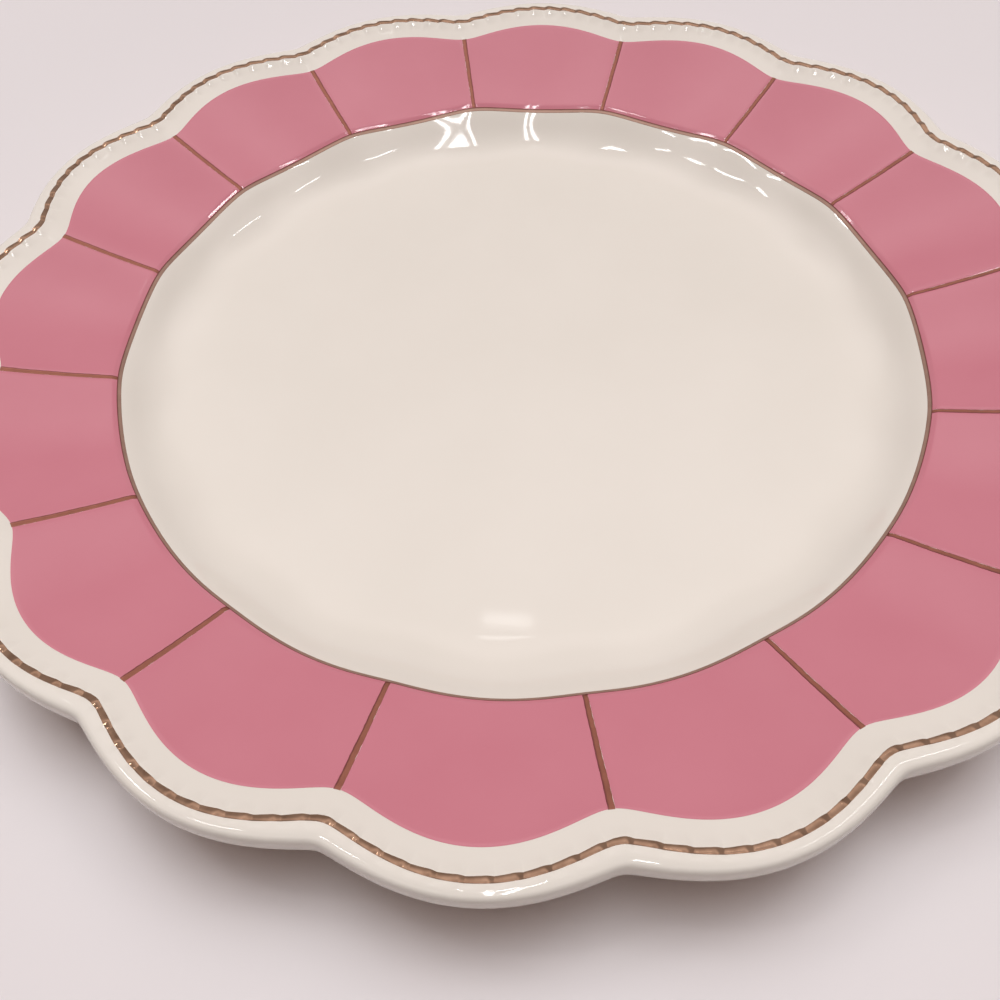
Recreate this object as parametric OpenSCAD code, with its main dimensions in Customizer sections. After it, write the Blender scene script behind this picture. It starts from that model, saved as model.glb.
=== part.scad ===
// Scalloped dessert plate: a pressed ceramic body with fired-on pink panels and gold lines.
// The origin is the centre of the resting face, +Z is up, and the scallop crests start at +X.

/* [Plate] */
// Diameter of the outline across two opposite scallop crests
plate_diameter = 203; // [170:1:280]
// Height from the resting face to the top of the gold line on the rim
plate_height = 20; // [18:0.5:32]
// Number of scallops round the rim, each with one panel and one spoke
scallops = 16; // [10:1:24]

/* [Foot and well] */
// From the well's gold line in to the outer wall of the foot ring
foot_inset = 11.5; // [8:0.5:20]
// Width of the foot ring
foot_width = 4; // [2.5:0.25:8]
// Height of the foot ring under the floor
foot_height = 2.5; // [1.5:0.25:4]
// Radius on the two lower edges of the foot ring
foot_round = 0.8; // [0.2:0.1:1.2]
// Flat step of the underside outside the foot ring
foot_step = 1; // [0.5:0.1:3]
// Thickness of the floor of the well
floor_thickness = 4.4; // [3:0.1:6]
// Width of the coved wall between the flat floor and the well's gold line
cove_width = 13; // [9:0.5:22]
// Slope of the coved wall where it reaches the well's gold line, in degrees
wall_slope = 31; // [20:1:45]

/* [Rim] */
// Length of a panel at its middle, from the well's gold line to the scalloped margin
panel_length = 23.4; // [16:0.1:30]
// Width of the bare margin, from the panels to the middle of the gold rim line
margin_width = 4.5; // [2.5:0.1:7]
// From the middle of the gold rim line out to the outline, at a crest
lip_width = 2.6; // [1.5:0.1:4]
// Climb of the rim from the well's gold line to the gold rim line
rim_rise = 7.5; // [4:0.25:9]
// Width of the rounded shoulder over which the wall's slope eases into the rim's
shoulder_width = 2.5; // [1.5:0.5:14]
// Thickness of the rim under the panels
rim_thickness = 4.2; // [3:0.1:5]
// Thickness of the rounded lip, from the gold rim line to the underside
lip_thickness = 4.6; // [3.5:0.1:6]
// Height of the ridges under the spokes above the middles of the panels, at the well's gold line
flute_depth = 1; // [0:0.05:2]

/* [Scallops] */
// Depth of the valleys in the outline
outline_scallop_depth = 3.6; // [1:0.1:5]
// Depth of the valleys in the gold rim line
rim_line_scallop_depth = 4.3; // [1:0.1:5]
// Depth of the valleys in the outer edge of the panels
panel_scallop_depth = 4.5; // [1:0.1:6]

/* [Decoration] */
// Width of a gold spoke at its outer end
spoke_width = 0.85; // [0.4:0.05:2.5]
// Width of the gold line round the well
well_line_width = 0.65; // [0.3:0.05:1.5]
// Width of the gold line along the rim
rim_line_width = 1; // [0.5:0.05:2]
// Height of the raised gold line along the rim
rim_line_height = 0.5; // [0.1:0.05:1]
// Bare glaze between a gold line and a panel
line_gap = 0.12; // [0.05:0.01:0.5]
// Thickness of the pink enamel
enamel_thickness = 0.15; // [0.05:0.01:0.4]
// Thickness of the gold on the spokes and round the well
gold_thickness = 0.2; // [0.05:0.01:0.5]

/* [Hidden] */
function two_digits(k) = k < 10 ? str("0", k) : str(k);
function panel_name(k) = str("pink_panel_", two_digits(k));
function spoke_name(k) = str("gold_spoke_", two_digits(k));

ivory = "#EBE3D5";
pink = "#CE7F8E";
gold = "#A87558";
$fn = 96;

// Radii at the crests, from the outline inwards
outline_r = plate_diameter / 2;
rim_line_r = outline_r - lip_width;
panel_r = rim_line_r - margin_width;
well_line_r = panel_r - panel_length;
floor_r = well_line_r - cove_width;
foot_r = well_line_r - foot_inset;
well_line_in_r = well_line_r - well_line_width / 2;
well_line_out_r = well_line_r + well_line_width / 2;

// Heights of the ceramic: the gold line on the rim lies on rim_top and reaches plate_height
rim_top = plate_height - rim_line_height;
well_line_z = rim_top - rim_rise;
floor_top = foot_height + floor_thickness;

// How round the valleys are: a share near zero gives a sharp cusp, a share near one a plain wave
outline_soft_share = 0.08;
rim_line_soft_share = 0.15;
panel_soft_share = 0.25;
flute_soft_share = 0.15;
// Part of the climb beyond the shoulder that bends upwards instead of rising evenly
rim_bend_share = 0.2;
// Handles of the cove's curve, as shares of its width
cove_foot_share = 0.63;
cove_wall_share = 0.23;
// How far the lip tucks in underneath, as a share of its thickness
lip_tuck_share = 0.7;
// Part of the lip's thickness that lies above its outermost line
lip_belly_share = 0.5;
// How round the lip turns: a share of one gives an even round, a smaller one a flat top and a tighter turn
lip_round_share = 0.42;

// Places of the rows of points: along the cove, along the panels and along the underside of the wall
cove_shares = [0, 0.22, 0.42, 0.6, 0.76, 0.89];
panel_row_shares = [0, 0.04, 0.1, 0.3, 0.65, 1];
lip_turns = [25, 45, 65, 90, 135];
under_rim_shares = [0.6, 0.32, 0.12];
under_wall_shares = [0.75, 0.5, 0.25, 0];

// Angles of the stations: each scallop has two spoke edges, then the steps across its panel
pitch = 360 / scallops;
panel_steps = 8;
stations_per_scallop = panel_steps + 3;
stations = scallops * stations_per_scallop;
spoke_half_angle = asin(spoke_width / 2 / (panel_r - panel_scallop_depth));
gap_angle = asin(line_gap / well_line_r);
panel_half_angle = pitch / 2 - spoke_half_angle - gap_angle;
panel_step_shares = [for (n = [0 : panel_steps]) 2 * n / panel_steps - 1];
station_angles = [
    for (k = [0 : scallops - 1]) let (valley = (k - 0.5) * pitch, crest = k * pitch)
        each concat(
            [valley - spoke_half_angle, valley + spoke_half_angle],
            [for (share = panel_step_shares) crest + share * panel_half_angle]
        )
];

// A scallop runs from 0 in its valleys to 1 on its crest
function soft_cosine(angle, soft) = sqrt(pow(cos(scallops * angle / 2), 2) + soft * soft) - soft;
function scallop(angle, soft) = soft_cosine(angle, soft) / soft_cosine(0, soft);
function scalloped_r(angle, crest_r, depth, soft) = crest_r - depth * (1 - scallop(angle, soft));
function outline_at(angle) = scalloped_r(angle, outline_r, outline_scallop_depth, outline_soft_share);
function rim_line_at(angle) = scalloped_r(angle, rim_line_r, rim_line_scallop_depth, rim_line_soft_share);
function panel_edge_at(angle) = scalloped_r(angle, panel_r, panel_scallop_depth, panel_soft_share);

// Share of the way from the well's line to the rim line
rim_width = rim_line_r - well_line_r;
function rim_share(r, angle) = (r - well_line_r) / (rim_line_at(angle) - well_line_r);

// Flutes: low in the middle of a panel and high under a spoke, fading out over the wall and over the rim
function eased(share) = share * share * (3 - 2 * share);
function flute_fade(r, angle) = r < well_line_r ? eased((r - floor_r) / cove_width) : 1 - rim_share(r, angle);
function flute(r, angle) = flute_depth * (1 / 2 - scallop(angle, flute_soft_share)) * flute_fade(r, angle);

// Height of the rim without its flutes: the shoulder starts at the wall's slope and eases into the climb
even_climb_share = 1 - rim_bend_share;
shoulder_height = (tan(wall_slope) - rim_rise * even_climb_share / rim_width)
    / (3 / shoulder_width - even_climb_share / rim_width);
function shoulder_z(out) = shoulder_height * (1 - pow(1 - min(out / shoulder_width, 1), 3));
function climb(share) = (rim_rise - shoulder_height) * share * (even_climb_share + rim_bend_share * share);
function plain_rim_z(r, angle) = well_line_z + shoulder_z(r - well_line_r) + climb(rim_share(r, angle));
function on_rim(r, angle) = [r, plain_rim_z(r, angle) + flute(r, angle)];

// A cubic curve through its two ends, drawn towards its two handles
function curve(ends, handles, t) =
    pow(1 - t, 3) * ends[0] + 3 * pow(1 - t, 2) * t * handles[0]
    + 3 * (1 - t) * t * t * handles[1] + t * t * t * ends[1];

// The coved wall leaves the floor level and steepens all the way to the well's line
foot_handle = [cove_width * cove_foot_share, 0];
wall_handle = cove_width * cove_wall_share * [1, tan(wall_slope)];

function cove_row(angle, t) = let (
        low = [floor_r, floor_top],
        high = [well_line_in_r, plain_rim_z(well_line_in_r, angle)],
        plain = curve([low, high], [low + foot_handle, high - wall_handle], t)
    ) plain + [0, flute(plain[0], angle)];

function panel_row(angle, share) = let (
        inner_r = well_line_out_r + line_gap,
        outer_r = panel_edge_at(angle)
    ) on_rim(inner_r + share * (outer_r - inner_r), angle);

function rim_line_row(angle, side) = [rim_line_at(angle) + side * rim_line_width / 2, rim_top];

// The lip runs level from the rim line's outer edge, turns down to the outline and tucks in underneath
function lip_row(angle, turn) = let (
        start_r = rim_line_row(angle, 1)[0],
        reach = outline_at(angle) - start_r,
        tuck = lip_thickness * lip_tuck_share,
        belly = lip_thickness * lip_belly_share,
        out_share = pow(sin(turn), lip_round_share),
        down_share = 1 - pow(cos(turn), lip_round_share)
    ) turn <= 90
        ? [start_r + reach * out_share, rim_top - belly * down_share]
        : [outline_at(angle) - tuck * (1 - sin(turn)), rim_top - belly + (lip_thickness - belly) * cos(turn)];

// The underside follows the upper face of the rim, then curves down beside the foot ring
function under_rim_row(angle, share) = let (
        r = well_line_r + share * (rim_line_at(angle) - well_line_r)
    ) on_rim(r, angle) - [0, rim_thickness];

function under_wall_row(angle, t) = let (
        low = [foot_r + foot_step, foot_height],
        high = under_rim_row(angle, 0)
    ) curve([low, high], [low + foot_handle * cove_foot_share, high - wall_handle], t);

// Every row of one station: over the top from the floor to the lip, and back underneath
function profile(angle) = concat(
    [for (t = cove_shares) cove_row(angle, t)],
    [on_rim(well_line_in_r, angle), on_rim(well_line_out_r, angle)],
    [for (share = panel_row_shares) panel_row(angle, share)],
    [rim_line_row(angle, -1), rim_line_row(angle, 1)],
    [for (turn = lip_turns) lip_row(angle, turn)],
    [lip_row(angle, 180)],
    [for (share = under_rim_shares) under_rim_row(angle, share)],
    [for (t = under_wall_shares) under_wall_row(angle, t)]
);

function turned(p, angle) = [p[0] * cos(angle), p[0] * sin(angle), p[1]];
grid = [for (angle = station_angles) [for (p = profile(angle)) turned(p, angle)]];
rows = len(grid[0]);

// Numbers of the rows that bound the decoration
well_line_row = len(cove_shares);
panel_row_first = well_line_row + 2;
panel_row_last = panel_row_first + len(panel_row_shares) - 1;
rim_line_row_first = panel_row_last + 1;

// A thin layer on the upper face, between two stations and two rows, or right round the plate
module layer(first_station, steps, first_row, last_row, thickness) {
    whole = steps == stations;
    across = last_row - first_row + 1;
    along = whole ? stations : steps + 1;
    low = [for (j = [0 : along - 1]) let (station = grid[(first_station + j) % stations])
        for (i = [first_row : last_row]) station[i]];
    high = [for (p = low) p + [0, 0, thickness]];
    function at(j, i) = (j % along) * across + i;
    function up(j, i) = at(j, i) + along * across;
    upper = [for (j = [0 : steps - 1]) for (i = [0 : across - 2]) each [
        [up(j, i), up(j + 1, i + 1), up(j, i + 1)],
        [up(j, i), up(j + 1, i), up(j + 1, i + 1)]
    ]];
    lower = [for (j = [0 : steps - 1]) for (i = [0 : across - 2]) each [
        [at(j, i), at(j, i + 1), at(j + 1, i + 1)],
        [at(j, i), at(j + 1, i + 1), at(j + 1, i)]
    ]];
    long_sides = [for (j = [0 : steps - 1]) each [
        [up(j + 1, 0), up(j, 0), at(j, 0), at(j + 1, 0)],
        [up(j, across - 1), up(j + 1, across - 1), at(j + 1, across - 1), at(j, across - 1)]
    ]];
    ends = whole ? [] : [for (i = [0 : across - 2]) each [
        [up(0, i), up(0, i + 1), at(0, i + 1), at(0, i)],
        [up(steps, i + 1), up(steps, i), at(steps, i), at(steps, i + 1)]
    ]];
    polyhedron(concat(low, high), concat(upper, lower, long_sides, ends));
}

// The pressed shell: well, cove, fluted rim and lip over its underside
module shell() {
    function at(j, i) = (j % stations) * rows + i;
    skin = [for (j = [0 : stations - 1]) for (i = [0 : rows - 2]) each [
        [at(j, i), at(j + 1, i + 1), at(j, i + 1)],
        [at(j, i), at(j + 1, i), at(j + 1, i + 1)]
    ]];
    floor_face = [for (j = [stations - 1 : -1 : 0]) at(j, 0)];
    under_face = [for (j = [0 : stations - 1]) at(j, rows - 1)];
    polyhedron([for (station = grid) each station], concat(skin, [floor_face, under_face]));
}

// The foot ring stands half a floor deep in the shell, and its lower edges are round
module foot_ring() {
    inner_r = foot_r - foot_width;
    top = foot_height + floor_thickness / 2;
    rotate_extrude() {
        translate([inner_r, foot_round]) square([foot_width, top - foot_round]);
        translate([inner_r + foot_round, 0]) square([foot_width - 2 * foot_round, top]);
        for (r = [inner_r + foot_round, foot_r - foot_round]) translate([r, foot_round]) circle(foot_round);
    }
}

module plate_body() {
    color(ivory) union() {
        shell();
        foot_ring();
    }
}

module pink_panel(k) {
    first = (k - 1) * stations_per_scallop + 2;
    color(pink) layer(first, panel_steps, panel_row_first, panel_row_last, enamel_thickness);
}

module gold_spoke(k) {
    first = (k - 1) * stations_per_scallop;
    color(gold) layer(first, 1, well_line_row + 1, panel_row_last, gold_thickness);
}

module well_gold_line() {
    color(gold) layer(0, stations, well_line_row, well_line_row + 1, gold_thickness);
}

module rim_gold_line() {
    color(gold) layer(0, stations, rim_line_row_first, rim_line_row_first + 1, rim_line_height);
}

plate_body();
for (k = [1 : scallops]) {
    pink_panel(k);
    gold_spoke(k);
}
well_gold_line();
rim_gold_line();
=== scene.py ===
"""Scalloped dessert plate: glazed ivory body, pink enamel panels and rose gold lines, on a pale table."""

import math

import bmesh
import bpy
import numpy as np
from mathutils import Matrix, Quaternion, Vector


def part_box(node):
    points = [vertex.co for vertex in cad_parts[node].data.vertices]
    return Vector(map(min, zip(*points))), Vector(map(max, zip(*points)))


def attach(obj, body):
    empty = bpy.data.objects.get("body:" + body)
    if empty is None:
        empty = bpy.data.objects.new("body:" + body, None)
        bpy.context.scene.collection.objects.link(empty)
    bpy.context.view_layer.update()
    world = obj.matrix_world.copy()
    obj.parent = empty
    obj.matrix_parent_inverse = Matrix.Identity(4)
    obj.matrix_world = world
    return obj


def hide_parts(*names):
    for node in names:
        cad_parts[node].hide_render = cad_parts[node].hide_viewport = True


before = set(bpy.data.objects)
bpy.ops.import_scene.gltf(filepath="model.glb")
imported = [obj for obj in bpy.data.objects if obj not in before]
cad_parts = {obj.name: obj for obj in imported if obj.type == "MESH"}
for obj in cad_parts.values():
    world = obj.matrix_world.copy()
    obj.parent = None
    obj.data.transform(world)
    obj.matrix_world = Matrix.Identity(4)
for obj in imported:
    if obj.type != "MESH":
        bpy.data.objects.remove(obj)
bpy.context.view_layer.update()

# Sizes are in millimetres until a mesh is made
MM = 0.001


def box_mm(node):
    """Lowest and highest corner of a solid, in millimetres."""
    return [np.array(corner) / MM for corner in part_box(node)]


# Widths of the decoration and shapes that the solids' boxes don't give
SPOKE_WIDTH = 0.85
WELL_LINE_WIDTH = 0.65
RIM_LINE_WIDTH = 1.0
SOLID_GOLD_THICKNESS = 0.2
ENAMEL_THICKNESS = 0.12
GOLD_THICKNESS = 0.06
GOLD_OVERLAP = 0.1
HAIRLINE = 0.015
SPOKE_OVERRUN = 0.1
SINK = 0.03
MARGIN_WIDTH = 4.5
FLOOR_TOP = 6.9
FLOOR_DISH = 0.04
COVE_WIDTH = 13.0
WALL_SLOPE = math.tan(math.radians(31))
SHOULDER_STRAIGHT = 0.85
SHOULDER_EASE = 0.6
FLUTE_DEPTH = 1.0
RIM_THICKNESS = 4.2
LIP_THICKNESS = 4.6
FOOT_INSET = 11.5
FOOT_WIDTH = 4.0
FOOT_HEIGHT = 2.5
FOOT_ROUND = 0.8
FOOT_STEP = 1.0
OUTLINE_SCALLOP_DEPTH = 3.6
RIM_LINE_SCALLOP_DEPTH = 4.3
PANEL_SCALLOP_DEPTH = 4.5

# How round the valleys are, from a sharp cusp near zero to a plain wave near one
OUTLINE_SOFT_SHARE = 0.08
RIM_LINE_SOFT_SHARE = 0.15
PANEL_SOFT_SHARE = 0.25
FLUTE_SOFT_SHARE = 0.4
# Part of the rim's climb that bends upwards, handles of the cove's curve and shape of the lip's turn
RIM_BEND_SHARE = 0.2
COVE_FOOT_SHARE = 0.63
COVE_WALL_SHARE = 0.23
LIP_TUCK_SHARE = 0.7
LIP_BELLY_SHARE = 0.5
LIP_ROUND_SHARE = 0.42

# The rope of small strands pressed into the rim: the gold line runs on it, it fades into the margin,
# and its grooves close again before the smooth lip
BEADS_PER_SCALLOP = 11
BEAD_RISE_SHARE = 0.76
BEAD_ROUND = 0.6
ROPE_RELIEF = 0.32
ROPE_INNER_END = -3.2
ROPE_INNER_FULL = -0.5
ROPE_OUTER_FULL = 0.3
ROPE_OUTER_END = 1.1
# The gold rim line's width in a groove, and how much wider it gets on a strand, as shares of its full width
LINE_IN_GROOVE = 0.92
LINE_SWELL = 0.14

# Places of the solids that the visual pieces follow
scallops = sum(name.startswith("pink_panel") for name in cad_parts)
outline_r = box_mm("plate_body")[1][0]
rim_top = box_mm("rim_gold_line")[0][2]
rim_line_r = box_mm("rim_gold_line")[1][0] - RIM_LINE_WIDTH / 2
panel_r = box_mm("pink_panel_01")[1][0]
well_line_r = box_mm("well_gold_line")[1][0] - WELL_LINE_WIDTH / 2
well_line_z = (box_mm("well_gold_line")[0][2] + box_mm("well_gold_line")[1][2] - SOLID_GOLD_THICKNESS) / 2
rim_rise = rim_top - well_line_z
floor_r = well_line_r - COVE_WIDTH
foot_r = well_line_r - FOOT_INSET
well_line_in_r = well_line_r - WELL_LINE_WIDTH / 2
well_line_out_r = well_line_r + WELL_LINE_WIDTH / 2
pitch = 2 * math.pi / scallops
bead_pitch = pitch / BEADS_PER_SCALLOP
spoke_half_angle = math.asin(SPOKE_WIDTH / 2 / (panel_r - PANEL_SCALLOP_DEPTH))


def soft_cosine(phase, soft):
    """A row of round humps with narrow valleys, one hump in each half turn of the phase."""
    return np.sqrt(np.cos(phase) ** 2 + soft * soft) - soft


def scallop(angle, soft):
    """0 in the valleys of the outline, 1 on its crests."""
    return soft_cosine(scallops * angle / 2, soft) / soft_cosine(0, soft)


def outline_at(angle):
    return outline_r - OUTLINE_SCALLOP_DEPTH * (1 - scallop(angle, OUTLINE_SOFT_SHARE))


def rim_line_at(angle):
    return rim_line_r - RIM_LINE_SCALLOP_DEPTH * (1 - scallop(angle, RIM_LINE_SOFT_SHARE))


def panel_edge_at(angle):
    return panel_r - PANEL_SCALLOP_DEPTH * (1 - scallop(angle, PANEL_SOFT_SHARE))


def eased(share):
    """A smooth step from 0 to 1, level at both ends."""
    share = np.clip(share, 0, 1)
    return share * share * (3 - 2 * share)


def rim_share(r, angle):
    """Share of the way from the well's line to the rim line."""
    return (r - well_line_r) / (rim_line_at(angle) - well_line_r)


def flute(r, angle):
    """Height of the flutes: low in the middle of a panel, high under a spoke, fading over wall and rim."""
    fade = np.where(r < well_line_r, eased((r - floor_r) / COVE_WIDTH), 1 - rim_share(r, angle))
    return FLUTE_DEPTH * (1 / 2 - scallop(angle, FLUTE_SOFT_SHARE)) * fade


# The shoulder leaves the well's line at the wall's slope, runs straight and eases into the climb of the rim
rim_width = rim_line_r - well_line_r
even_climb_share = 1 - RIM_BEND_SHARE
shoulder_reach = SHOULDER_STRAIGHT + SHOULDER_EASE / 3
shoulder_slope = (WALL_SLOPE - rim_rise * even_climb_share / rim_width) / (
    1 - shoulder_reach * even_climb_share / rim_width)
shoulder_height = shoulder_slope * shoulder_reach


def plain_rim_z(r, angle):
    """Height of the rim without its flutes."""
    share = rim_share(r, angle)
    out = r - well_line_r
    past = np.clip((out - SHOULDER_STRAIGHT) / SHOULDER_EASE, 0, 1)
    eased_run = SHOULDER_EASE / 3 * (1 - (1 - past) ** 3)
    shoulder = shoulder_slope * (np.minimum(out, SHOULDER_STRAIGHT) + eased_run)
    climb = (rim_rise - shoulder_height) * share * (even_climb_share + RIM_BEND_SHARE * share)
    return well_line_z + shoulder + climb


def across_line(angle):
    """Turn that a strand takes for each millimetre out from the gold line, to stay square to the line."""
    step = 0.0001
    lean = (rim_line_at(angle + step) - rim_line_at(angle - step)) / (2 * step) / rim_line_at(angle)
    return lean / (1 + lean * lean) / rim_line_at(angle)


def bead(angle, out):
    """Height of a strand, from 0 in a groove to near 1: a slow rise, a rounded ridge and a steep fall."""
    turn = (angle + across_line(angle) * out) / bead_pitch % 1
    rise, fall = turn / BEAD_RISE_SHARE, (1 - turn) / (1 - BEAD_RISE_SHARE)
    blend = np.clip((1 + (fall - rise) / BEAD_ROUND) / 2, 0, 1)
    return rise * blend + fall * (1 - blend) - BEAD_ROUND * blend * (1 - blend)


def rope(angle, out):
    """Height of the rope above the rim, at a distance out from the middle of the gold line."""
    raised = eased((out - ROPE_INNER_END) / (ROPE_INNER_FULL - ROPE_INNER_END)) ** 2
    groove = eased((ROPE_OUTER_END - out) / (ROPE_OUTER_END - ROPE_OUTER_FULL)) * (1 - bead(angle, out))
    return ROPE_RELIEF * raised * (1 - groove)


def on_rim(r, angle):
    """Radius and height of a point on the upper face, from the well's line to the rim line's inner edge."""
    return r, plain_rim_z(r, angle) + flute(r, angle) + rope(angle, r - rim_line_at(angle))


def on_margin(out, angle):
    """A point of the margin at a distance out from the middle of the gold rim line."""
    return on_rim(rim_line_at(angle) + out, angle)


def under_rim_line(out, angle):
    """Radius and height of a point under the gold rim line, where the rim levels out towards the lip."""
    inner_r = rim_line_at(angle) - RIM_LINE_WIDTH / 2
    drop = rim_top - plain_rim_z(inner_r, angle) - flute(inner_r, angle)
    level = (1 / 2 - out / RIM_LINE_WIDTH) ** 2
    return rim_line_at(angle) + out, rim_top - drop * level + rope(angle, out)


def curve(low, high, low_handle, high_handle, t):
    """A point of the cubic curve between two points, drawn towards their handles."""
    weights = ((1 - t) ** 3, 3 * (1 - t) ** 2 * t, 3 * (1 - t) * t * t, t**3)
    points = (low, low_handle, high_handle, high)
    return tuple(sum(w * p[axis] for w, p in zip(weights, points)) for axis in (0, 1))


wall_handle = (COVE_WIDTH * COVE_WALL_SHARE, COVE_WIDTH * COVE_WALL_SHARE * WALL_SLOPE)


def cove_row(angle, t):
    """The coved wall leaves the floor level and steepens all the way to the well's line."""
    low = (floor_r, FLOOR_TOP)
    high = (well_line_in_r, plain_rim_z(well_line_in_r, angle))
    low_handle = (floor_r + COVE_WIDTH * COVE_FOOT_SHARE, FLOOR_TOP)
    r, z = curve(low, high, low_handle, (high[0] - wall_handle[0], high[1] - wall_handle[1]), t)
    return r, z + flute(r, angle)


def lip_row(angle, turn):
    """The lip runs level from the rim line, turns down to the outline and tucks in underneath."""
    start_r = rim_line_at(angle) + RIM_LINE_WIDTH / 2
    belly = LIP_THICKNESS * LIP_BELLY_SHARE
    if turn <= math.pi / 2:
        out_share = math.sin(turn) ** LIP_ROUND_SHARE
        down_share = 1 - math.cos(turn) ** LIP_ROUND_SHARE
        r = start_r + (outline_at(angle) - start_r) * out_share
        return r, rim_top - belly * down_share + rope(angle, r - rim_line_at(angle)) * (1 - down_share)
    tuck = LIP_THICKNESS * LIP_TUCK_SHARE * (1 - math.sin(turn))
    return outline_at(angle) - tuck, rim_top - belly + (LIP_THICKNESS - belly) * math.cos(turn)


def under_rim_row(angle, share):
    """The underside of the rim follows its upper face."""
    r = well_line_r + share * (rim_line_at(angle) - well_line_r)
    return r, plain_rim_z(r, angle) + flute(r, angle) - RIM_THICKNESS


def under_wall_row(angle, t):
    """The underside of the wall curves down to the step beside the foot ring."""
    low = (foot_r + FOOT_STEP, FOOT_HEIGHT)
    high = under_rim_row(angle, 0)
    low_handle = (low[0] + COVE_WIDTH * COVE_FOOT_SHARE**2, FOOT_HEIGHT)
    return curve(low, high, low_handle, (high[0] - wall_handle[0], high[1] - wall_handle[1]), t)


# Soft corners between the foot ring and the underside: how far out from the ring's wall, and how far down
FOOT_OUTER_CORNER = ((0.3, 0.1), (0.0, 0.5))
FOOT_INNER_CORNER = ((0.0, 0.6), (0.2, 0.15), (0.8, 0.0))
FOOT_ROUND_TURNS = np.radians([0, 30, 60, 90])


def foot_rows():
    """The foot ring's profile, from the wall's underside round its resting face to the floor's underside."""
    inner_r = foot_r - FOOT_WIDTH
    rounding = [(FOOT_ROUND * (1 - math.cos(turn)), FOOT_ROUND * (1 - math.sin(turn)))
                for turn in FOOT_ROUND_TURNS]
    rows = [(foot_r + out, FOOT_HEIGHT - down) for out, down in FOOT_OUTER_CORNER]
    rows += [(foot_r - inward, up) for inward, up in rounding]
    rows += [(inner_r + outward, up) for outward, up in rounding[::-1]]
    return rows + [(inner_r - out, FOOT_HEIGHT - down) for out, down in FOOT_INNER_CORNER]


def turned(r, z, angle):
    """Points at these radii and heights, turned about the plate's axis."""
    return np.stack(np.broadcast_arrays(r * np.cos(angle), r * np.sin(angle), z), axis=-1)


def loft(loops, ring):
    """Points and faces of a skin through closed loops, run round into a ring or capped at its ends."""
    count, size = loops.shape[:2]
    index = np.arange(count * size).reshape(count, size)
    here = index if ring else index[:-1]
    after = np.roll(index, -1, axis=0) if ring else index[1:]
    quads = np.stack([here, np.roll(here, -1, 1), np.roll(after, -1, 1), after], axis=-1).reshape(-1, 4)
    caps = [] if ring else [index[0][::-1].tolist(), index[-1].tolist()]
    return loops.reshape(-1, 3), quads.tolist() + caps


# Faces that meet at more than this keep a sharp edge
SHARP_ANGLE = math.radians(60)


def add_piece(name, node, materials, loops, ring=False):
    """Makes one closed smooth piece that stands for a solid, hides the solid and takes the given finishes.
    """
    points, faces = loft(loops, ring)
    mesh = bpy.data.meshes.new(name)
    mesh.from_pydata(points * MM, [], faces)
    skin = bmesh.new()
    skin.from_mesh(mesh)
    bmesh.ops.recalc_face_normals(skin, faces=skin.faces)
    skin.to_mesh(mesh)
    skin.free()
    mesh.shade_smooth()
    mesh.set_sharp_from_angle(angle=SHARP_ANGLE)
    for material in materials:
        mesh.materials.append(material)
    piece = bpy.data.objects.new(name, mesh)
    bpy.context.scene.collection.objects.link(piece)
    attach(piece, "root")
    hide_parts(node)
    return piece


def linear(hex_colour):
    """Linear red, green, blue and alpha of an sRGB hex colour."""
    parts = [int(hex_colour[i : i + 2], 16) / 255 for i in (1, 3, 5)]
    return [c / 12.92 if c <= 0.04045 else ((c + 0.055) / 1.055) ** 2.4 for c in parts] + [1.0]


def per_mm(size):
    """Scale of a pattern whose features are this many millimetres across."""
    return 1 / (size * MM)


def add(tree, kind, inputs=None, **settings):
    """Adds a node: settings are its own options, and each input takes a value or another node's output."""
    node = tree.nodes.new(kind)
    for key, value in settings.items():
        setattr(node, key, value)
    for key, value in (inputs or {}).items():
        if isinstance(value, bpy.types.NodeSocket):
            tree.links.new(value, node.inputs[key])
        else:
            node.inputs[key].default_value = value
    return node


def new_material(name):
    """A material with no nodes yet, and its node tree."""
    material = bpy.data.materials.new(name)
    material.use_nodes = True
    material.node_tree.nodes.clear()
    return material, material.node_tree


def glaze_material():
    """Ivory glaze on pressed ceramic: glass-smooth and warm white, with faint clouding and a soft ripple."""
    material, tree = new_material("ivory_glazed_ceramic")
    place = add(tree, "ShaderNodeTexCoord").outputs["Object"]
    clouds = add(tree, "ShaderNodeTexNoise", {"Vector": place, "Scale": per_mm(24), "Detail": 3.0})
    tones = {0: clouds.outputs["Fac"], 6: linear("#E2DACF"), 7: linear("#E9E1D7")}
    colour = add(tree, "ShaderNodeMix", tones, data_type="RGBA")
    gloss = add(tree, "ShaderNodeMapRange", {0: clouds.outputs["Fac"], 3: 0.03, 4: 0.07})
    ripple = add(tree, "ShaderNodeTexNoise", {"Vector": place, "Scale": per_mm(7), "Detail": 1.0})
    relief = add(tree, "ShaderNodeBump", {
        "Height": ripple.outputs["Fac"], "Strength": 0.08, "Distance": 0.05 * MM})
    shader = add(tree, "ShaderNodeBsdfPrincipled", {
        "Base Color": colour.outputs[2], "Roughness": gloss.outputs[0],
        "Normal": relief.outputs[0], "IOR": 1.5})
    add(tree, "ShaderNodeOutputMaterial", {"Surface": shader.outputs[0]})
    return material


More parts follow.
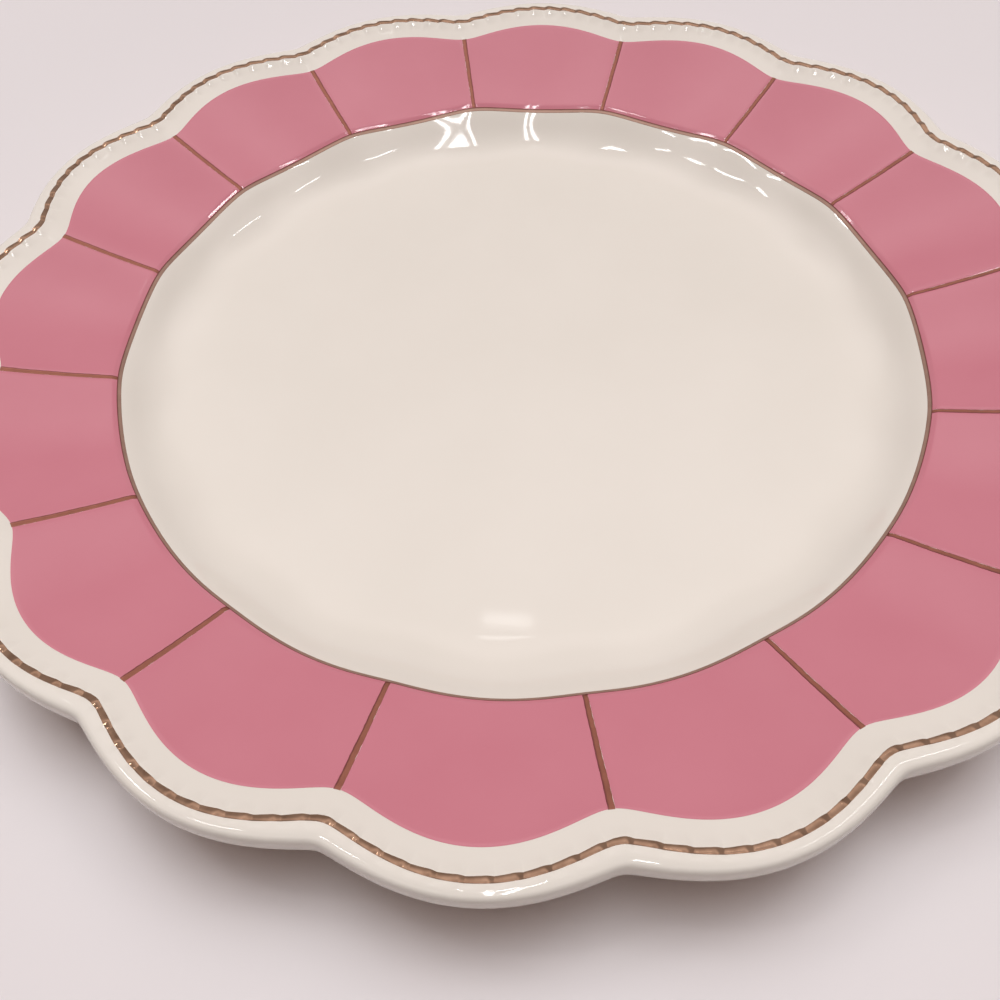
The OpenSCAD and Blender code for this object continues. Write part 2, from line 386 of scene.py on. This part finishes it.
def biscuit_material():
    """Bare fired clay where the plate stands: matt, a little browner, its grain drawn coarser than it is."""
    material, tree = new_material("bare_biscuit_clay")
    place = add(tree, "ShaderNodeTexCoord").outputs["Object"]
    grain = add(tree, "ShaderNodeTexNoise", {"Vector": place, "Scale": per_mm(0.8), "Detail": 4.0})
    tones = {0: grain.outputs["Fac"], 6: linear("#C9BBA6"), 7: linear("#DDD2C0")}
    colour = add(tree, "ShaderNodeMix", tones, data_type="RGBA")
    relief = add(tree, "ShaderNodeBump", {
        "Height": grain.outputs["Fac"], "Strength": 0.4, "Distance": 0.05 * MM})
    shader = add(tree, "ShaderNodeBsdfPrincipled", {
        "Base Color": colour.outputs[2], "Roughness": 0.85, "Normal": relief.outputs[0], "IOR": 1.5})
    add(tree, "ShaderNodeOutputMaterial", {"Surface": shader.outputs[0]})
    return material


def enamel_material():
    """Pink fired enamel: an even glossy coat, faintly clouded, its speckle drawn coarser than it is."""
    material, tree = new_material("pink_fired_enamel")
    place = add(tree, "ShaderNodeTexCoord").outputs["Object"]
    clouds = add(tree, "ShaderNodeTexNoise", {"Vector": place, "Scale": per_mm(15), "Detail": 4.0})
    tones = {0: clouds.outputs["Fac"], 6: linear("#C77482"), 7: linear("#CE7E8B")}
    colour = add(tree, "ShaderNodeMix", tones, data_type="RGBA")
    speckle = add(tree, "ShaderNodeTexNoise", {"Vector": place, "Scale": per_mm(2.5), "Detail": 2.0})
    gloss = add(tree, "ShaderNodeMapRange", {0: speckle.outputs["Fac"], 3: 0.04, 4: 0.08})
    relief = add(tree, "ShaderNodeBump", {
        "Height": speckle.outputs["Fac"], "Strength": 0.1, "Distance": 0.03 * MM})
    shader = add(tree, "ShaderNodeBsdfPrincipled", {
        "Base Color": colour.outputs[2], "Roughness": gloss.outputs[0],
        "Normal": relief.outputs[0], "IOR": 1.5})
    add(tree, "ShaderNodeOutputMaterial", {"Surface": shader.outputs[0]})
    return material


def gold_material(name, dark, light, metal_share, smoothest, roughest):
    """Rose gold lustre: a thin coppery film, painted on and fired, uneven along the stroke."""
    material, tree = new_material(name)
    place = add(tree, "ShaderNodeTexCoord").outputs["Object"]
    stroke = add(tree, "ShaderNodeTexNoise", {"Vector": place, "Scale": per_mm(1.6), "Detail": 3.0})
    tones = {0: stroke.outputs["Fac"], 6: linear(dark), 7: linear(light)}
    colour = add(tree, "ShaderNodeMix", tones, data_type="RGBA")
    gloss = add(tree, "ShaderNodeMapRange", {0: stroke.outputs["Fac"], 3: smoothest, 4: roughest})
    relief = add(tree, "ShaderNodeBump", {
        "Height": stroke.outputs["Fac"], "Strength": 0.15, "Distance": 0.05 * MM})
    shader = add(tree, "ShaderNodeBsdfPrincipled", {
        "Base Color": colour.outputs[2], "Metallic": metal_share, "Roughness": gloss.outputs[0],
        "Normal": relief.outputs[0]})
    add(tree, "ShaderNodeOutputMaterial", {"Surface": shader.outputs[0]})
    return material


def table_material():
    """Pale matt table top: even, with the faintest warm clouding."""
    material, tree = new_material("pale_matt_table")
    place = add(tree, "ShaderNodeTexCoord").outputs["Object"]
    clouds = add(tree, "ShaderNodeTexNoise", {"Vector": place, "Scale": per_mm(90), "Detail": 2.0})
    tones = {0: clouds.outputs["Fac"], 6: linear("#E1DADA"), 7: linear("#E6DFDF")}
    colour = add(tree, "ShaderNodeMix", tones, data_type="RGBA")
    shader = add(tree, "ShaderNodeBsdfPrincipled", {
        "Base Color": colour.outputs[2], "Roughness": 0.7, "Specular IOR Level": 0.2})
    add(tree, "ShaderNodeOutputMaterial", {"Surface": shader.outputs[0]})
    return material


glaze = glaze_material()
biscuit = biscuit_material()
enamel = enamel_material()
# The flat lines are satin, part metal and part pigment, and the raised rim line is brighter metal; over the
# pink a line's edge is darker and redder. A finish gives the metal's share and the least and most roughness
SATIN = (0.5, 0.42, 0.55)
BRIGHT = (1.0, 0.05, 0.09)
gold = gold_material("rose_gold_lustre", "#7E4838", "#9A604C", *SATIN)
dull_gold = gold_material("dull_gold_lustre", "#8A6A5C", "#A48474", *SATIN)
bright_gold = gold_material("bright_gold_lustre", "#664C3B", "#A88A74", *BRIGHT)
gold_on_pink = gold_material("rose_gold_over_pink", "#6A3230", "#864844", *SATIN)

# Stations round the plate: each strand of the rope has the same few, closest together on its steep side
BEAD_TURNS = np.array([0.01, 0.05, 0.28, 0.54, 0.66, 0.73, 0.79, 0.86, 0.96])
all_round = ((np.arange(scallops * BEADS_PER_SCALLOP)[:, None] + BEAD_TURNS) * bead_pitch).ravel()


def strand(out):
    """The stations moved along the strands, at a distance out from the middle of the gold line."""
    return all_round - across_line(all_round) * np.clip(out, -MARGIN_WIDTH, ROPE_OUTER_END)


def by_strand(place, out):
    """A row of the rim along the strands; place gives radius and height at a distance out and an angle."""
    angle = strand(out)
    return *place(out, angle), angle


# Rows of the body: radii on the floor, shares along the panels (closest on the shoulder), distances from the
# middle of the rim line, turns of the lip, shares along the underside of the rim and radii under the floor
FLOOR_ROWS = (2, 12, 24, 36, 46, 53, 55.5, 57, 57.95)
COVE_ROWS = np.linspace(0, 1, 22)
RIM_ROW_SHARES = (
    0, 0.008, 0.015, 0.022, 0.03, 0.038, 0.048, 0.065, 0.1, 0.17, 0.28, 0.42, 0.56, 0.7, 0.84, 0.96)
MARGIN_ROWS = np.linspace(-MARGIN_WIDTH, -RIM_LINE_WIDTH / 2, 15)
RIM_LINE_ROWS = (-0.25, 0, 0.25, RIM_LINE_WIDTH / 2)
LIP_TURNS = np.radians([4, 10, 18, 27, 37, 47, 57, 67, 78, 90, 103, 116, 130, 145, 162, 180])
UNDER_RIM_SHARES = (0.82, 0.7, 0.55, 0.4, 0.25, 0.1)
UNDER_WALL_ROWS = np.linspace(0.95, 0, 12)
UNDER_FLOOR_ROWS = (45, 30, 15, 2)


def body_loops():
    """Every row of the body: over the top from the middle to the lip, and back underneath."""
    edge_r = panel_edge_at(all_round)
    rows = [(r, FLOOR_TOP - FLOOR_DISH * (1 - (r / floor_r) ** 2)) for r in FLOOR_ROWS]
    rows += [cove_row(all_round, t) for t in COVE_ROWS]
    rows += [on_rim(well_line_out_r + s * (edge_r - well_line_out_r), all_round) for s in RIM_ROW_SHARES]
    rows += [by_strand(on_margin, out) for out in MARGIN_ROWS]
    rows += [by_strand(under_rim_line, out) for out in RIM_LINE_ROWS]
    for turn in LIP_TURNS:
        angle = strand(lip_row(all_round, turn)[0] - rim_line_at(all_round))
        rows.append((*lip_row(angle, turn), angle))
    rows += [under_rim_row(all_round, share) for share in UNDER_RIM_SHARES]
    rows += [under_wall_row(all_round, t) for t in UNDER_WALL_ROWS]
    rows += foot_rows()
    rows += [(r, FOOT_HEIGHT) for r in UNDER_FLOOR_ROWS]
    return np.stack([turned(row[0], row[1], row[2] if len(row) > 2 else all_round) for row in rows])


# The face that the plate stands on is bare clay
BARE_BELOW = 0.1
body = add_piece("body_glazed", "plate_body", [glaze, biscuit], body_loops())
for face in body.data.polygons:
    if face.center.z < BARE_BELOW * MM:
        face.material_index = 1

# Where the points of a layer lie across its width: over the top and back along the face under it
TOP_SHARES = np.array([-1, -0.97, -0.9, -0.75, -0.45, -0.15, 0.15, 0.45, 0.6, 0.75, 0.9, 0.97, 1])
LAPPING_STRIPS = (8, 9, 10, 11)
LAP_START = 0.45
LAP_RUN = 0.3
EDGE_SHARE = 0.99


def domed(across, thickness):
    """Height of a layer across its width, from -1 to 1: full in the middle and nothing at its edges."""
    return thickness * np.sqrt(np.clip(1 - np.abs(across) ** 4, 0, 1))


def flat_topped(across, thickness):
    """Height of a layer across its width, from -1 to 1: level, with a steep edge on each side."""
    return thickness * (np.abs(across) < EDGE_SHARE)


def lapping(across):
    """Height that lifts a gold line over the edge of the pink, on the side where across is 1."""
    return ENAMEL_THICKNESS * eased((across - LAP_START) / LAP_RUN)


def tint_lap(piece):
    """Gives the strips of a gold line that lie on the pink their darker gold."""
    size = 2 * len(TOP_SHARES) - 2
    for face in piece.data.polygons:
        if face.index % size in LAPPING_STRIPS:
            face.material_index = 1


def well_line_loops():
    """Closed cross-sections of the gold line round the well; its outer edge laps over the panels."""
    over = [on_rim(well_line_r + s * WELL_LINE_WIDTH / 2, all_round) for s in TOP_SHARES]
    heights = [domed(s, GOLD_THICKNESS) + lapping(s) for s in TOP_SHARES]
    top = [turned(r, z + height, all_round) for (r, z), height in zip(over, heights)]
    under = [turned(r, z - SINK, all_round) for r, z in over[-2:0:-1]]
    return np.stack(top + under, axis=1)


def rim_line_loops():
    """Closed cross-sections of the gold line that rides on the rope, a little wider on each strand."""
    half = RIM_LINE_WIDTH / 2 * (LINE_IN_GROOVE + LINE_SWELL * bead(all_round, 0))
    over = [by_strand(under_rim_line, s * half) for s in TOP_SHARES]
    heights = [flat_topped(s, GOLD_THICKNESS) for s in TOP_SHARES]
    top = [turned(r, z + height, angle) for (r, z, angle), height in zip(over, heights)]
    under = [turned(r, z - SINK, angle) for r, z, angle in over[-2:0:-1]]
    return np.stack(top + under, axis=1)


well_line = add_piece("well_line_gold", "well_gold_line", [dull_gold, gold_on_pink],
                      well_line_loops(), ring=True)
tint_lap(well_line)
add_piece("rim_line_gold", "rim_gold_line", [bright_gold], rim_line_loops(), ring=True)

# Rows of a panel from -1 at its inner end to 1 (closest on the shoulder), and across it from side to side
PANEL_ROWS = np.concatenate([
    [-1, -0.995, -0.99, -0.98, -0.97, -0.96, -0.95, -0.94, -0.93, -0.915, -0.895, -0.86],
    np.linspace(-0.8, 0.93, 22), [0.97, 0.99, 1]])
PANEL_SIDES = np.concatenate([[-1, -0.995, -0.985], np.linspace(-0.96, 0.96, 41), [0.985, 0.995, 1]])
# Parts of a panel over which its edges round off, and the share of its thickness left at the very edge
PANEL_SIDE_ROUND = 0.02
PANEL_INNER_ROUND = 0.01
PANEL_OUTER_ROUND = 0.03
PANEL_EDGE_SHARE = 0.08


def panel_loops(crest):
    """Closed cross-sections of one panel: a hairline from one spoke, and under the edge of the next."""
    inner_r = well_line_out_r - GOLD_OVERLAP
    low = crest - pitch / 2 + spoke_half_angle + HAIRLINE / panel_r
    high = crest + pitch / 2 - spoke_half_angle + GOLD_OVERLAP / panel_r
    angle = low + (1 + PANEL_SIDES) / 2 * (high - low)
    outer_r = panel_edge_at(angle)
    over = [on_rim(inner_r + (1 + s) / 2 * (outer_r - inner_r), angle) for s in PANEL_ROWS]
    side_height = np.clip((1 - np.abs(PANEL_SIDES)) / PANEL_SIDE_ROUND, PANEL_EDGE_SHARE, 1) ** 0.5
    top = []
    for (r, z), s in zip(over, PANEL_ROWS):
        inner_height = max((1 + s) / PANEL_INNER_ROUND, PANEL_EDGE_SHARE)
        outer_height = max((1 - s) / PANEL_OUTER_ROUND, PANEL_EDGE_SHARE)
        end_height = min(inner_height, outer_height, 1) ** 0.5
        top.append(turned(r, z + ENAMEL_THICKNESS * np.minimum(side_height, end_height), angle))
    under = [turned(r, z - SINK, angle) for r, z in over[::-1]]
    return np.stack(top + under, axis=1)


# Slightly uneven edges of the spokes: each wave's reach in millimetres, its radians to a millimetre, and the
# share of the spoke's own unevenness that it starts from
SPOKE_WAVES = ((0.02, 0.9, 1.0), (0.015, 3.7, 2.3))
SPOKE_ROWS = np.linspace(0, 1, 60)
SPOKE_END_ROUND = 0.15
UNEVENNESS_STEP = 1.7


def spoke_loops(valley, unevenness):
    """Closed cross-sections of one gold spoke, from the well's line out past the pink."""
    inner_r = well_line_out_r - GOLD_OVERLAP
    outer_r = panel_r - PANEL_SCALLOP_DEPTH + SPOKE_OVERRUN
    loops = []
    for share in SPOKE_ROWS:
        r = inner_r + share * (outer_r - inner_r)
        wander = sum(reach * math.sin(rate * r + start * unevenness) for reach, rate, start in SPOKE_WAVES)
        low = -spoke_half_angle - (GOLD_OVERLAP + wander) / r
        high = spoke_half_angle - wander / r
        angle = valley + (low + high) / 2 - TOP_SHARES * (high - low) / 2
        z = on_rim(r, angle)[1]
        end = eased((1 - share) * (outer_r - inner_r) / SPOKE_END_ROUND) ** 0.5
        top = turned(r, z + (domed(TOP_SHARES, GOLD_THICKNESS) + lapping(TOP_SHARES)) * end, angle)
        under = turned(r, z - SINK, angle)[-2:0:-1]
        loops.append(np.concatenate([top, under]))
    return np.stack(loops)


for k in range(scallops):
    number = f"{k + 1:02d}"
    add_piece(f"panel_{number}_enamel", f"pink_panel_{number}", [enamel],
              panel_loops(k * pitch))
    spoke = add_piece(f"spoke_{number}_gold", f"gold_spoke_{number}", [gold, gold_on_pink],
                      spoke_loops((k - 0.5) * pitch, UNEVENNESS_STEP * k))
    tint_lap(spoke)

# Pale table top, in metres
HALF_TABLE = 3.0
table = bpy.data.meshes.new("table_top")
corners = ((-1, -1), (1, -1), (1, 1), (-1, 1))
table.from_pydata([(x * HALF_TABLE, y * HALF_TABLE, 0) for x, y in corners], [], [(0, 1, 2, 3)])
table.materials.append(table_material())
table_top = bpy.data.objects.new("table_top", table)
bpy.context.scene.collection.objects.link(table_top)

# Soft dome of light, brightest overhead and warmer towards its edge, for the matt part of every surface;
# the camera and mirror-like surfaces see a plain backdrop instead, brightest half way up
DOME_TOP = 4.3
DOME_POWER = 9
DOME_TILT = math.radians(10)
DOME_BEARING = math.radians(8)
# Cosines from the dome's top between which its light turns warmer
WARMER_FROM, WARMEST_AT = 0.95, 0.65
# Heights, from 0 at the horizon to 1 overhead, between which the backdrop brightens and then fades
BRIGHTER_FROM, BRIGHTEST_AT = 0.66, 0.8
FADING_FROM, FADED_AT = 0.83, 0.98
BACKDROP_LOW = 1.0
BACKDROP_RAISED = 2.1
BACKDROP_OVERHEAD = 1.0

world = bpy.data.worlds.new("studio_dome")
bpy.context.scene.world = world
world.use_nodes = True
dome = world.node_tree
dome.nodes.clear()
direction = add(dome, "ShaderNodeTexCoord").outputs["Generated"]
dome_top = (math.sin(DOME_TILT) * math.sin(DOME_BEARING), math.sin(DOME_TILT) * math.cos(DOME_BEARING),
            math.cos(DOME_TILT))
towards_top = add(dome, "ShaderNodeVectorMath", {0: direction, 1: dome_top}, operation="DOT_PRODUCT")
towards_top = towards_top.outputs["Value"]
upper = add(dome, "ShaderNodeMath", {0: towards_top, 1: 0.0}, operation="MAXIMUM").outputs[0]
narrowed = add(dome, "ShaderNodeMath", {0: upper, 1: DOME_POWER}, operation="POWER").outputs[0]
strength = add(dome, "ShaderNodeMath", {0: narrowed, 1: DOME_TOP}, operation="MULTIPLY").outputs[0]
warmth = add(dome, "ShaderNodeMapRange", {0: towards_top, 1: WARMER_FROM, 2: WARMEST_AT, 3: 0.0, 4: 1.0})
tones = {0: warmth.outputs[0], 6: linear("#F4FAFF"), 7: linear("#FFA868")}
tint = add(dome, "ShaderNodeMix", tones, data_type="RGBA")
light = add(dome, "ShaderNodeBackground", {"Color": tint.outputs[2], "Strength": strength})
upward = add(dome, "ShaderNodeSeparateXYZ", {0: direction}).outputs["Z"]
rising = add(dome, "ShaderNodeMapRange", {
    0: upward, 1: BRIGHTER_FROM, 2: BRIGHTEST_AT, 3: BACKDROP_LOW, 4: BACKDROP_RAISED})
fading = add(dome, "ShaderNodeMapRange", {
    0: upward, 1: FADING_FROM, 2: FADED_AT, 3: rising.outputs[0], 4: BACKDROP_OVERHEAD})
backdrop = add(dome, "ShaderNodeBackground", {"Color": linear("#E4DCDB"), "Strength": fading.outputs[0]})
path = add(dome, "ShaderNodeLightPath").outputs
seen = add(dome, "ShaderNodeMath", {0: path["Is Camera Ray"], 1: path["Is Glossy Ray"]}, operation="MAXIMUM")
seen = add(dome, "ShaderNodeMath", {0: seen.outputs[0], 1: path["Is Transmission Ray"]}, operation="MAXIMUM")
mixed = add(dome, "ShaderNodeMixShader", {0: seen.outputs[0], 1: light.outputs[0], 2: backdrop.outputs[0]})
add(dome, "ShaderNodeOutputWorld", {"Surface": mixed.outputs[0]})

# Distance of the lamps from the plate, in metres
LAMP_DISTANCE = 1.75
NEARER_LAMP_DISTANCE = 1.3


def add_lamp(name, right, away, width, length, turn, radiance, distance=LAMP_DISTANCE):
    """A rectangular lamp that faces the plate; place, size and turn are degrees about the point overhead."""
    lean, bearing = math.radians(math.hypot(right, away)), math.atan2(right, away)
    back = Vector((math.sin(lean) * math.sin(bearing), math.sin(lean) * math.cos(bearing), math.cos(lean)))
    along = (Vector((0, 1, 0)) - back * back.y).normalized()
    along = Quaternion(back, math.radians(-turn)) @ along
    lamp = bpy.data.lights.new(name, "AREA")
    lamp.shape = "RECTANGLE"
    lamp.size, lamp.size_y = (2 * distance * math.tan(math.radians(a / 2)) for a in (width, length))
    # An area lamp of this power has the wanted radiance
    lamp.energy = 4 * radiance * lamp.size * lamp.size_y
    stand = bpy.data.objects.new(name, lamp)
    bpy.context.scene.collection.objects.link(stand)
    stand.location = back * distance
    stand.rotation_euler = Matrix((along.cross(back), along, back)).transposed().to_euler()


add_lamp("tube_overhead_left", right=-0.7, away=-3.5, width=1.2, length=33, turn=-6, radiance=20)
add_lamp("tube_overhead_right", right=2.3, away=-3.5, width=1.2, length=33, turn=-6, radiance=20)
add_lamp("strip_right", right=22.4, away=9.5, width=1.1, length=14, turn=22, radiance=16)
add_lamp("strip_left", right=-27.8, away=8.1, width=2.5, length=8.0, turn=0, radiance=14)
add_lamp("strip_left_low", right=-20, away=-1.5, width=7, length=2, turn=0, radiance=16)
add_lamp("small_lamp_behind", right=-2.6, away=28.4, width=2.9, length=0.65, turn=0, radiance=3.0,
         distance=NEARER_LAMP_DISTANCE)

# Camera at the height and angle of a hand-held close view: lengths in millimetres, turn in degrees and
# shift as a share of the picture's width
CAMERA_PLACE = (9.372, -140.439, 151.494)
CAMERA_TURN = (36.934, 2.192, 5.105)
CAMERA_LENS = 39.215
CAMERA_SENSOR = 36.0
CAMERA_SHIFT = 0.03
NEAREST_SEEN = 10
camera_data = bpy.data.cameras.new("camera")
camera_data.sensor_width = CAMERA_SENSOR
camera_data.lens = CAMERA_LENS
camera_data.shift_x = CAMERA_SHIFT
camera_data.clip_start = NEAREST_SEEN * MM
camera = bpy.data.objects.new("camera", camera_data)
bpy.context.scene.collection.objects.link(camera)
camera.location = [along * MM for along in CAMERA_PLACE]
camera.rotation_euler = [math.radians(turn) for turn in CAMERA_TURN]
bpy.context.scene.camera = camera
bpy.context.scene.view_settings.view_transform = "Standard"
